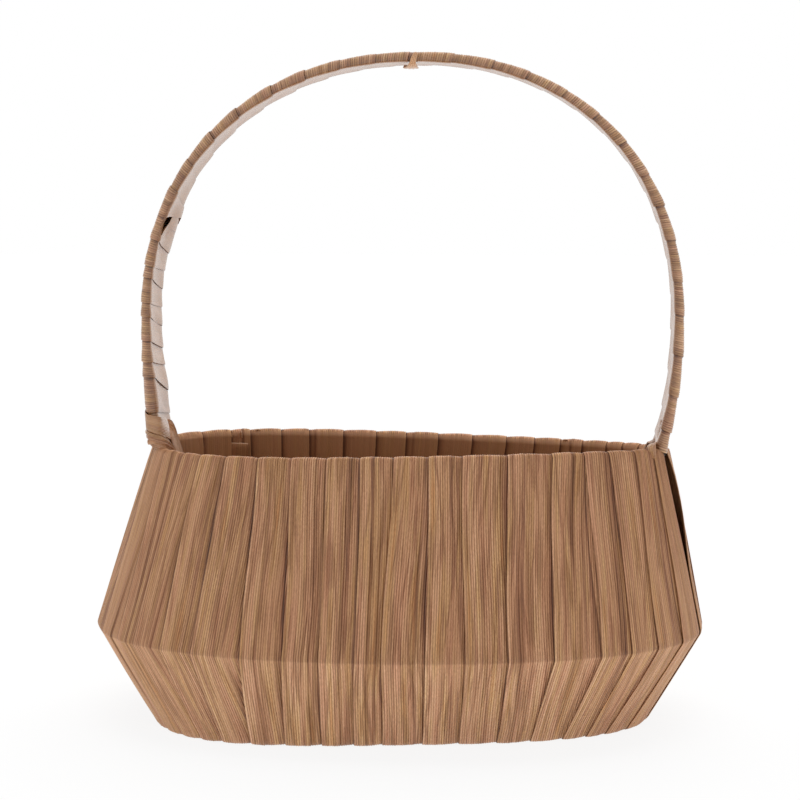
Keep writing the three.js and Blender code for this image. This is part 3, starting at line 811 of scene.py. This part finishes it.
def way_round(reach):
    """One loop, from inside at the front round the front wire, across the outside, round the back wire
    and across the inside: depth from -1 at the front to 1 at the back, facing in degrees, the shares
    of the loop gone and of its step along the bow gained, and the loop's length."""
    roll, flat = math.pi * reach, 2 * WIRE_DEPTH
    loop = 2 * roll + 2 * flat
    t_roll, t_flat = (np.linspace(0, 1, rows, endpoint=False) for rows in (ROLL_ROWS, FACE_ROWS))
    depth = [-np.ones(ROLL_ROWS), -1 + 2 * t_flat, np.ones(ROLL_ROWS), 1 - 2 * t_flat]
    facing = [270 - 180 * t_roll, np.full(FACE_ROWS, 90), 90 - 180 * t_roll, np.full(FACE_ROWS, -90)]
    gone = [roll * t_roll, roll + flat * t_flat]
    gone += [roll + flat + roll * t_roll, 2 * roll + flat + flat * t_flat]
    gained = [ROLL_GAIN * t_roll, ROLL_GAIN + OUTER_GAIN * t_flat]
    gained += [ROLL_GAIN + OUTER_GAIN + ROLL_GAIN * t_roll, 2 * ROLL_GAIN + OUTER_GAIN + INNER_GAIN * t_flat]
    depth, facing, gone, gained = (np.concatenate(listed) for listed in (depth, facing, gone, gained))
    return depth, facing, gone / loop, gained, loop


def place_on_bow(along, depth, facing, reach):
    """Points at a length along the bow, a depth from front to back, and a reach in a facing, where 90
    degrees is away from the bow's inside and 180 straight to the front."""
    point, way = bow_at(along)
    outward = np.stack([-way[..., 1], np.zeros(way.shape[:-1]), way[..., 0]], -1)
    angle = np.radians(facing)[..., None]
    direction = outward * np.sin(angle) + np.array([0, 1, 0]) * np.cos(angle)
    deep = np.broadcast_to(depth * WIRE_DEPTH, along.shape)
    return np.stack([point[..., 0], deep, point[..., 1]], -1) + direction * reach[..., None]


def tear_edge(side, depth, inner):
    """Where the ribbon of each length ends at the tear: beyond it on the outside, but on the inner
    face the left length stops short at the front and the right length is cut off above it."""
    if side > 0:
        inside = np.interp(depth, TEAR_DEPTHS, TEAR_PLACES)
        return LEFT_STOP + (inside - LEFT_STOP) * inner
    return RIGHT_STOP + (TEAR_HIGH - RIGHT_STOP) * inner


def hill(x, middle, spread):
    """1 at the middle, falling off to both sides."""
    return np.exp(-(((x - middle) / spread) ** 2))


def handle_wrap(side, edges, last):
    """Ribbon wound round the bow, its raised edge at the listed lengths where it passes the front.

    Side is 1 where the turns go up the bow from its left foot and -1 where they come from the right.
    Each turn lies a layer over the one before it at every place, rolls closely round both wires and
    sags a little between them, with its own slack, lean and waves."""
    lateral, height = cord_section(HANDLE_CORDS, 31, HANDLE_THICKNESS)
    width = HANDLE_CORDS * CORD_PITCH
    upper = height > 0
    depth, facing, gone, gained, loop = way_round(HANDLE_WIRE + WIRE_GAP + HANDLE_TOP)
    if side < 0:
        depth, facing, gone, gained = depth[::-1], facing[::-1], 1 - gone[::-1], 1 - gained[::-1]
    turns = np.arange(math.ceil(last))
    depth, facing = (np.tile(part, len(turns)) for part in (depth, facing))
    wound, number = ((turns[:, None] + part).ravel() for part in (gone, gained))
    kept = wound <= last
    depth, facing, number, wound = (part[kept][:, None] for part in (depth, facing, number, wound))
    offset = ROLL_GAIN / 2 if side > 0 else 1 - ROLL_GAIN / 2
    listed = np.arange(len(edges)) + offset
    steps = np.arange(len(edges) + 2) + 1.0
    own = np.random.default_rng(77 + side)
    swell, lean, phase = (np.interp(number, steps, own.uniform(-1, 1, len(steps))) for _ in range(3))
    from_outside = np.abs((facing - 90 + 180) % 360 - 180)
    inner = smooth(*ON_INSIDE, from_outside)
    turned_in = smooth(*TURNED_IN, from_outside)
    start = edges[0] + (number - offset) * (edges[1] - edges[0])
    edge = np.where(number < offset, start, np.interp(number, listed, edges) + LEAN * lean)
    scale = np.clip((tear_edge(side, depth, inner) - edge) * side / width, LEAST_WIDTH, 1)
    along = edge + side * lateral * scale
    over = np.clip(np.interp(along * side, np.array(edges) * side, listed) - number, 0, 4)
    shown = np.clip(1 - over, 0, 1)
    torn = TORN_LIFT * (1 - smooth(109, 124, along)) if side < 0 else 0
    level = np.maximum(HANDLE_TOP - HANDLE_STEP * over, 0) + torn - EDGE_DROP * np.exp(-over / 0.07) * upper
    cords = (height - HANDLE_THICKNESS) * (1 - INNER_EVENNESS * inner)
    evened = np.where(upper, HANDLE_THICKNESS + cords, 0)
    flat = 1 - depth**2
    wave = WAVE_HEIGHT * flat * inner * np.sin(along * 0.5 + 2.2 * depth + 3 * phase) * shown
    slack = (SLACK_HEIGHT + SLACK_CHANGE * swell) * shown * hill(over, 0.25, 0.5)
    loose = LOOSENESS * hill(along, SLACK_PLACE, SLACK_SPREAD) * (smooth(-0.5, 0.8, depth) * turned_in)
    bulge = LEFT_BULGE * hill(along, 28, 13) * turned_in
    full = FOOT_FULLNESS * np.exp(-(BOW_LENGTH - along) / 9) * (1 - turned_in)
    reach_out = HANDLE_WIRE + WIRE_GAP + level + evened + wave + slack - SAG * flat + loose + bulge + full
    points = place_on_bow(np.clip(along, -1.2, BOW_LENGTH + 1.2), depth, facing, reach_out)
    # Painted shade along each seam and at each raised edge, and painted shade and light across the front face
    seam_shade, seam_reach = HANDLE_SEAM_SHADE
    edge_shade, edge_reach = HANDLE_EDGE_SHADE
    shade = seam_shade * np.exp(-np.abs(1 - over) * TURN_WIDTH / seam_reach) * (over < 1.03)
    shade = (shade + edge_shade * np.exp(-over * TURN_WIDTH / edge_reach)) * upper * (1 - 0.4 * inner)
    lee = smooth(*LEE_START, from_outside) * (1 - smooth(*LEE_END, from_outside))
    shade = shade + LEE_SHADE * (lee - (1 - smooth(*LIT_END, from_outside)))
    floats = {"turn": np.floor(wound) + 60, "shade": np.clip(shade, -0.4, 1), "calm": HANDLE_CALM * inner}
    return points, ribbon_map(loop * wound, lateral), floats


# The handle's two lengths of ribbon meet at the tear on the left leg
for name, side, edges, last in (
    ("handle_wrap_left", 1, LEFT_EDGES, LEFT_END),
    ("handle_wrap_right", -1, RIGHT_EDGES, RIGHT_END),
):
    grid_mesh(name, *handle_wrap(side, edges, last), handle_ribbon, "handle_ribbon", "handle_ribbon")


# Loose straps: the lashing at the feet, the folded end at the top and the tucked end inside

STRAP_THICKNESS = 0.25


def through(stations, count):
    """Values along a smooth curve through the stations: each stretch is a cubic whose slopes at its
    ends are half the step between its neighbours (Catmull-Rom)."""
    stations = np.asarray(stations, float)
    ends = np.concatenate([[2 * stations[0] - stations[1]], stations, [2 * stations[-1] - stations[-2]]])
    place = np.linspace(0, len(stations) - 1, count)
    part = np.minimum(place.astype(int), len(stations) - 2)
    t = (place - part)[:, None]
    a, b, c, d = (ends[part + i] for i in range(4))
    return 0.5 * (2 * b + (c - a) * t + (2 * a - 5 * b + 4 * c - d) * t**2 + (3 * b - a - 3 * c + d) * t**3)


def strap_piece(
    name, number, node, stations, cords,
    rows=64, crown=0.3, gathered=1.6, calm=0.3, pale=0.15, tip=0.0, tip_reach=1.2,
):
    """A corded strap along stations of x, y, z, facing x, y, z and width, in millimetres, as a piece
    that stands with others in place of a node.

    Its middle is lifted by the crown, as cords that are gathered together bulge, and its cords stand up by
    the gathering. Its edges get painted shade. It is as pale as told, partly its own tone and partly painted
    light and shade, and its first rows are paler by the tip, a painted highlight, less and less over the
    tip's reach."""
    lateral, height = cord_section(cords, 900 + number, STRAP_THICKNESS)
    raised = STRAP_THICKNESS + (height - STRAP_THICKNESS) * gathered
    height = np.where(height > STRAP_THICKNESS, raised, height)
    curve = through(stations, rows)
    place, facing, wide = curve[:, :3], curve[:, 3:6], curve[:, 6:]
    along = unit(np.gradient(place, axis=0))
    facing = unit(facing - along * (facing * along).sum(-1, keepdims=True))
    side = np.cross(facing, along)
    share = lateral / (cords * CORD_PITCH) - 0.5
    row = np.arange(rows)
    taper = np.clip(np.minimum(row, row[::-1]) / 4 + 0.35, 0, 1)[:, None]
    lift = height * taper + crown * (1 - (2 * share) ** 2)
    points = place[:, None] + side[:, None] * (share * wide)[..., None] + facing[:, None] * lift[..., None]
    run = running(np.linalg.norm(np.diff(place, axis=0), axis=-1))[:, None]
    # Painted shade at both edges, the paleness as told, and a painted highlight on the first rows
    shade = 1.2 * np.clip(np.abs(2 * share) - 0.75, 0, 1) - pale - tip * np.exp(-run / tip_reach)
    floats = {"turn": 120.0 + number, "shade": np.clip(shade, -0.6, 1), "calm": calm}
    slot = "wall_ribbon" if "wall" in node else "handle_ribbon"
    grid_mesh(name, points, ribbon_map(run, lateral), floats, handle_ribbon, node, slot)


def on_bow(stations):
    """Stations told by length along the bow, depth, facing in degrees, reach and width, as places."""
    told = np.array(stations, float)
    along, depth, facing, reach, wide = (told[:, i : i + 1] for i in range(5))
    places = place_on_bow(along, depth, facing, reach)[:, 0]
    facings = place_on_bow(along, depth, facing, reach + 1)[:, 0] - places
    return np.concatenate([places, facings, wide], -1)


def mirrored(stations):
    """The same stations with front and back exchanged."""
    return np.asarray(stations, float) * np.array([1, -1, 1, 1, -1, 1, 1])


# The gathered lashing comes round the outside of the left foot, crosses its front downwards and goes
# over the rim; a smoother turn lies above it
LEFT_LASHING = on_bow([
    (13.0, 1.0, 20, 2.7, 6.5), (11.6, 0.7, 90, 2.7, 6.5),
    (9.4, -0.2, 90, 2.7, 6.5), (7.4, -0.9, 95, 2.7, 6.5),
    (6.0, -1.0, 140, 2.8, 6.4), (4.9, -1.0, 185, 2.8, 6.2),
    (3.2, -1.0, 230, 2.8, 6.4), (1.2, -0.85, 265, 2.9, 6.2),
    (-1.4, -0.7, 270, 3.3, 5.4), (-5.0, -0.6, 270, 4.4, 4.4),
    (-10.0, -0.55, 270, 6.2, 4.0),
])
LEFT_CROSSING = on_bow([
    (22.5, 1.0, 20, 2.8, 7.5), (20.6, 0.7, 90, 2.8, 8),
    (17.6, -0.2, 90, 2.9, 8.4), (14.9, -0.9, 95, 3.2, 8.0),
    (13.6, -1.0, 140, 3.9, 7.8), (12.2, -1.0, 185, 4.1, 8.0),
    (10.4, -1.0, 230, 4.0, 8.8), (8.6, -0.7, 268, 3.9, 10.5),
    (6.8, -0.2, 270, 3.7, 11), (5.2, 0.1, 270, 2.8, 9),
    (3.0, 0.3, 270, 1.6, 7),
])
# Single cords of the lashing, told by how far above its middle they lie and how far they stand out
LEFT_CORD_STATIONS = [
    (9.4, -0.2, 90, 0.0), (8.4, -0.9, 95, 0.8),
    (7.0, -1.0, 140, 1.0), (4.9, -1.0, 185, 0.9),
    (2.2, -1.0, 230, 0.9), (-0.9, -0.8, 262, 1.0),
    (-4.5, -0.6, 270, 1.2), (-9.0, -0.5, 270, 1.6),
]
LEFT_CORDS = [(2.6, 2.2), (0.6, 3.1), (-1.4, 3.2), (-3.3, 2.8), (-5.1, 2.3)]
LEFT_INNER = on_bow([
    (7.8, 0.2, 270, 1.6, 9), (6.2, 0.3, 270, 2.7, 13),
    (4.0, 0.4, 270, 3.3, 15), (0.0, 0.45, 270, 3.3, 15),
    (-4.0, 0.45, 270, 3.4, 15), (-9.0, 0.45, 270, 3.6, 14),
])
LEFT_ROPE_END = [
    (-118.0, -16.2, 135.3, 0, -1, 0.2, 3.2), (-119.8, -16.9, 135.0, -0.2, -1, 0.2, 3.1),
    (-121.4, -16.7, 134.6, -0.3, -1, 0.2, 2.9), (-122.8, -16.0, 134.2, -0.4, -1, 0.2, 2.4),
]
RIGHT_LASHING = [
    (127.9, 6.0, 142.0, -1, 0, 0.1, 8), (126.9, -2.0, 138.4, -1, -0.1, 0.2, 7.5),
    (125.4, -9.0, 134.6, -0.8, -0.4, 0.5, 6), (123.6, -12.6, 132.6, -0.5, -0.6, 0.6, 4.6),
    (121.6, -12.2, 130.6, -0.9, -0.2, 0.5, 4.2), (120.8, -11.4, 126.0, -1, 0, 0, 4),
    (120.6, -10.8, 120.5, -0.95, 0, -0.2, 4),
]
# The end that shows at the right foot lies folded over the rim
RIGHT_FOLDED_END = [
    (123.4, -20.9, 130.0, 0.1, -1, 0.1, 1.8), (122.9, -21.0, 132.0, 0.1, -1, 0.2, 2.8),
    (122.6, -20.2, 134.0, 0, -0.7, 0.7, 3.8), (122.5, -18.2, 135.1, -0.1, 0, 1, 4.2),
    (122.9, -15.6, 135.3, -0.2, 0.2, 0.9, 4.2), (123.9, -13.2, 135.2, -0.4, 0.3, 0.9, 4.0),
    (125.4, -10.8, 135.4, -0.6, 0.2, 0.8, 3.6),
]
# One end is folded in under the top of the bow and bulges there
TOP_PLACE = np.interp(7.4, bow_line[:, 0], bow_lengths)
TOP_FOLD = on_bow([
    (TOP_PLACE + 1.5, -1.0, 132, 2.3, 1.4), (TOP_PLACE + 1.2, -1.0, 156, 2.6, 2.2),
    (TOP_PLACE + 0.4, -1.0, 195, 2.9, 2.8), (TOP_PLACE - 0.2, -1.0, 240, 3.0, 3.2),
    (TOP_PLACE - 0.8, -0.8, 266, 4.3, 5.6), (TOP_PLACE - 1.8, -0.4, 270, 4.3, 7.6),
    (TOP_PLACE - 3.0, 0.1, 270, 2.6, 5),
])
# A ribbon's end is tucked in on the inside of the back wall, with a few loose threads above it
TUCKED_END = [
    (-85.3, 30.4, 127.9, 0, -1, 0, 9.0), (-85.4, 30.7, 125.0, 0, -1, 0, 9.2),
    (-85.6, 31.8, 119.0, 0, -1, 0, 9.0), (-86.0, 33.9, 108.0, 0, -1, 0, 8.8),
]


def thread(x, y, low, high, lean):
    """A loose upright thread's stations."""
    shares = (0, 0.33, 0.67, 1)
    return [(x + lean * t, y + 0.7 * t * t, low + (high - low) * t, 0, -1, 0.4 * t, 0.6) for t in shares]


def chip(x, y, z):
    """The stations of a worn flake that stands off the back rim."""
    middle = (x, y - 0.1, z + 0.1, 0, -0.8, 0.6, 1.1)
    return [(x - 1.2, y, z, 0, -0.8, 0.6, 0.8), middle, (x + 1.2, y, z, 0, -0.8, 0.6, 0.7)]


THREADS = [(-89.2, 29.9, 130.9, 134.2, 0.3), (-85.3, 29.9, 129.9, 133.4, 0.2)]
THREADS += [(-83.9, 29.9, 130.6, 134.2, -0.3)]
CHIPS = {"left": (-76.3, 34.6, 134.0), "right": (81.7, 35.4, 130.3)}
LEFT_FOOT, RIGHT_FOOT, BACK_WALL = "left_foot_binding", "right_foot_binding", "back_wall_ribbon"
bundle = {"gathered": 2.0, "calm": 0.1}
# The inner lashing's first rows carry a painted highlight
inner_look = {"gathered": 2.4, "calm": 0.3, "pale": 0.0, "tip": 1.0, "tip_reach": 5.0}
# The tucked end lies in shade inside: darkened as painted shade, with a painted highlight on its first rows
tucked_look = {"calm": 0.8, "pale": -0.3, "tip": 0.7, "gathered": 0.5, "crown": 0.1}
STRAPS = [
    ("left_front_lashing", LEFT_FOOT, LEFT_LASHING, 9, {**bundle, "crown": 0.4, "pale": -0.4}),
    ("left_crossing_lashing", LEFT_FOOT, LEFT_CROSSING, 13, {"calm": 0.5, "gathered": 0.6}),
    ("left_rope_end", LEFT_FOOT, LEFT_ROPE_END, 5, {"pale": 0.4, "gathered": 2}),
    ("left_back_lashing", LEFT_FOOT, mirrored(LEFT_LASHING[:6]), 9, bundle),
    ("left_inner_lashing", LEFT_FOOT, LEFT_INNER, 20, inner_look),
    ("right_front_lashing", RIGHT_FOOT, RIGHT_LASHING, 8, {"calm": 0.6}),
    ("right_folded_end", RIGHT_FOOT, RIGHT_FOLDED_END, 6, {"calm": 0.4, "crown": 0.6, "pale": 0.4}),
    ("right_back_lashing", RIGHT_FOOT, mirrored(RIGHT_LASHING), 8, {"calm": 0.6}),
    ("top_fold", "handle_ribbon", TOP_FOLD, 4, {"crown": 0.3, "calm": 1.0, "pale": 0.6, "gathered": 1.4}),
    ("tucked_end", BACK_WALL, TUCKED_END, 9, tucked_look),
]
for number, told in enumerate(THREADS, 1):
    STRAPS.append((f"thread_{number}", BACK_WALL, thread(*told), 1, {"rows": 12}))
for side, place in CHIPS.items():
    STRAPS.append((f"rim_chip_{side}", BACK_WALL, chip(*place), 1, {"rows": 12, "pale": 0.5}))
for number, (above, reach) in enumerate(LEFT_CORDS, 1):
    stations = [(along + above, *turned, reach + out, 2.3) for along, *turned, out in LEFT_CORD_STATIONS]
    look = {"crown": 0.8, "calm": 0.3, "pale": 0.1}
    STRAPS.append((f"left_lashing_cord_{number}", LEFT_FOOT, on_bow(stations), 4, look))
for number, (name, node, stations, cords, look) in enumerate(STRAPS):
    strap_piece(name, number, node, stations, cords, **look)


# Wires and board


def metal_material():
    """Dull zinc-coated wire with faint drawn lines."""
    material, tree, shader = new_material("zinc wire")
    lines = noise(signal(tree, "TexCoord", which="Object"), 4.0, 420.0)
    colour = ramp(lines, [(0.3, (0.28, 0.27, 0.25)), (0.7, (0.46, 0.45, 0.42))])
    feed(shader, {"Base Color": colour, "Roughness": lines.span(*NOISE_SPAN, 0.32, 0.55), "Metallic": 0.9})
    return material


def board_material():
    """Pressed fibre board: short fibres in two sizes, darker flecks and a slightly rough face."""
    material, tree, shader = new_material("fibre board")
    place = signal(tree, "TexCoord", which="Object")
    stretch = {"Vector": place, "Scale": (180.0, 900.0, 300.0), "Rotation": (0, 0, 0.5)}
    fine = noise(signal(tree, "Mapping", stretch), 5.0)
    broad = noise(place, 3.0, 26.0)
    stops = [(0.3, (0.2, 0.12, 0.065)), (0.5, (0.37, 0.25, 0.14)), (0.7, (0.5, 0.37, 0.23))]
    colour = ramp(fine * 0.7 + broad * 0.3, stops)
    feed(shader, {"Base Color": colour, "Roughness": 0.75, "Normal": bumped(0.3, 0.0003, fine)})
    return material


zinc = metal_material()
fibre_board = board_material()
for name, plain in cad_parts.items():
    covering = fibre_board if name == "base_board" else handle_ribbon
    is_metal = any(word in name for word in ("hoop", "upright", "wire"))
    plain.data.materials[0] = zinc if is_metal else covering


# Floor, light and camera

FLOOR_GLOW = 0.35
FLOOR_WHITE = 0.88
FLOOR_HALF = 6.0
SKY_LIGHT = 0.55
FOCAL_PIXELS = 1836.7
PICTURE_PIXELS = 800
SENSOR_WIDTH = 36
CAMERA_DISTANCE = 900
CAMERA_HEIGHT = 259.3
CAMERA_TURN = 0.08
CAMERA_TILT = 0.116


def looked_at(tree, kinds, otherwise, seen):
    """One value for the listed kinds of ray, and another for all others."""
    rays = add_node(tree, "LightPath")
    first, *others = (Signal(tree, rays.outputs[f"Is {kind} Ray"]) for kind in kinds)
    return sum(others, first).span(0.0, 1.0, otherwise, seen)


def make_floor():
    """A wide pale table lit faintly from within, nearly white to the camera, with the object's shadow."""
    corners = [(x * FLOOR_HALF, y * FLOOR_HALF, 0) for x, y in ((-1, -1), (1, -1), (1, 1), (-1, 1))]
    mesh = bpy.data.meshes.new("floor")
    mesh.from_pydata(corners, [], [(0, 1, 2, 3)])
    floor = bpy.data.objects.new("floor", mesh)
    bpy.context.scene.collection.objects.link(floor)
    material, tree, shader = new_material("pale floor")
    feed(shader, {"Base Color": (0.86, 0.86, 0.86, 1), "Roughness": 1.0, "Specular IOR Level": 0.0})
    white = signal(tree, "Emission", {"Color": (1, 1, 1, 1), "Strength": 1.0})
    share = looked_at(tree, ("Camera", "Glossy"), FLOOR_GLOW, FLOOR_WHITE)
    both = signal(tree, "MixShader", {0: share, 1: Signal(tree, shader.outputs[0]), 2: white})
    feed(tree.nodes["Material Output"], {0: both})
    mesh.materials.append(material)


def make_world():
    """Even light from all sides, and plain white where the camera, a reflection or glass looks out."""
    world = bpy.data.worlds.new("studio")
    bpy.context.scene.world = world
    world.use_nodes = True
    tree = world.node_tree
    tree.nodes.clear()
    level = looked_at(tree, ("Camera", "Glossy", "Transmission"), SKY_LIGHT, 1.0)
    sky = signal(tree, "Background", {"Color": (1, 1, 1, 1), "Strength": level})
    add_node(tree, "OutputWorld", {0: sky})


def add_soft_sun(name, direction, strength, spread):
    """A distant lamp as wide as a large soft box, shining from a direction."""
    light = bpy.data.lights.new(name, "SUN")
    light.energy = strength
    light.angle = math.radians(spread)
    lamp = bpy.data.objects.new(name, light)
    lamp.rotation_euler = Vector(direction).to_track_quat("Z", "Y").to_euler()
    lamp.visible_glossy = False
    bpy.context.scene.collection.objects.link(lamp)


def make_camera():
    """The photograph's view: a long lens, a little to the right and above, looking slightly down."""
    camera = bpy.data.cameras.new("camera")
    camera.sensor_width = SENSOR_WIDTH
    camera.lens = FOCAL_PIXELS / PICTURE_PIXELS * SENSOR_WIDTH
    camera.clip_start = 0.01
    view = bpy.data.objects.new("camera", camera)
    across = CAMERA_DISTANCE * math.sin(CAMERA_TURN)
    back = CAMERA_DISTANCE * math.cos(CAMERA_TURN)
    view.location = (across * MM, -back * MM, CAMERA_HEIGHT * MM)
    view.rotation_euler = (math.pi / 2 - CAMERA_TILT, 0.0, CAMERA_TURN)
    bpy.context.scene.collection.objects.link(view)
    bpy.context.scene.camera = view


make_floor()
make_world()
add_soft_sun("top light", (0.05, 0.5, 0.87), 2.5, 60)
make_camera()

scene = bpy.context.scene
scene.view_settings.view_transform = "Standard"
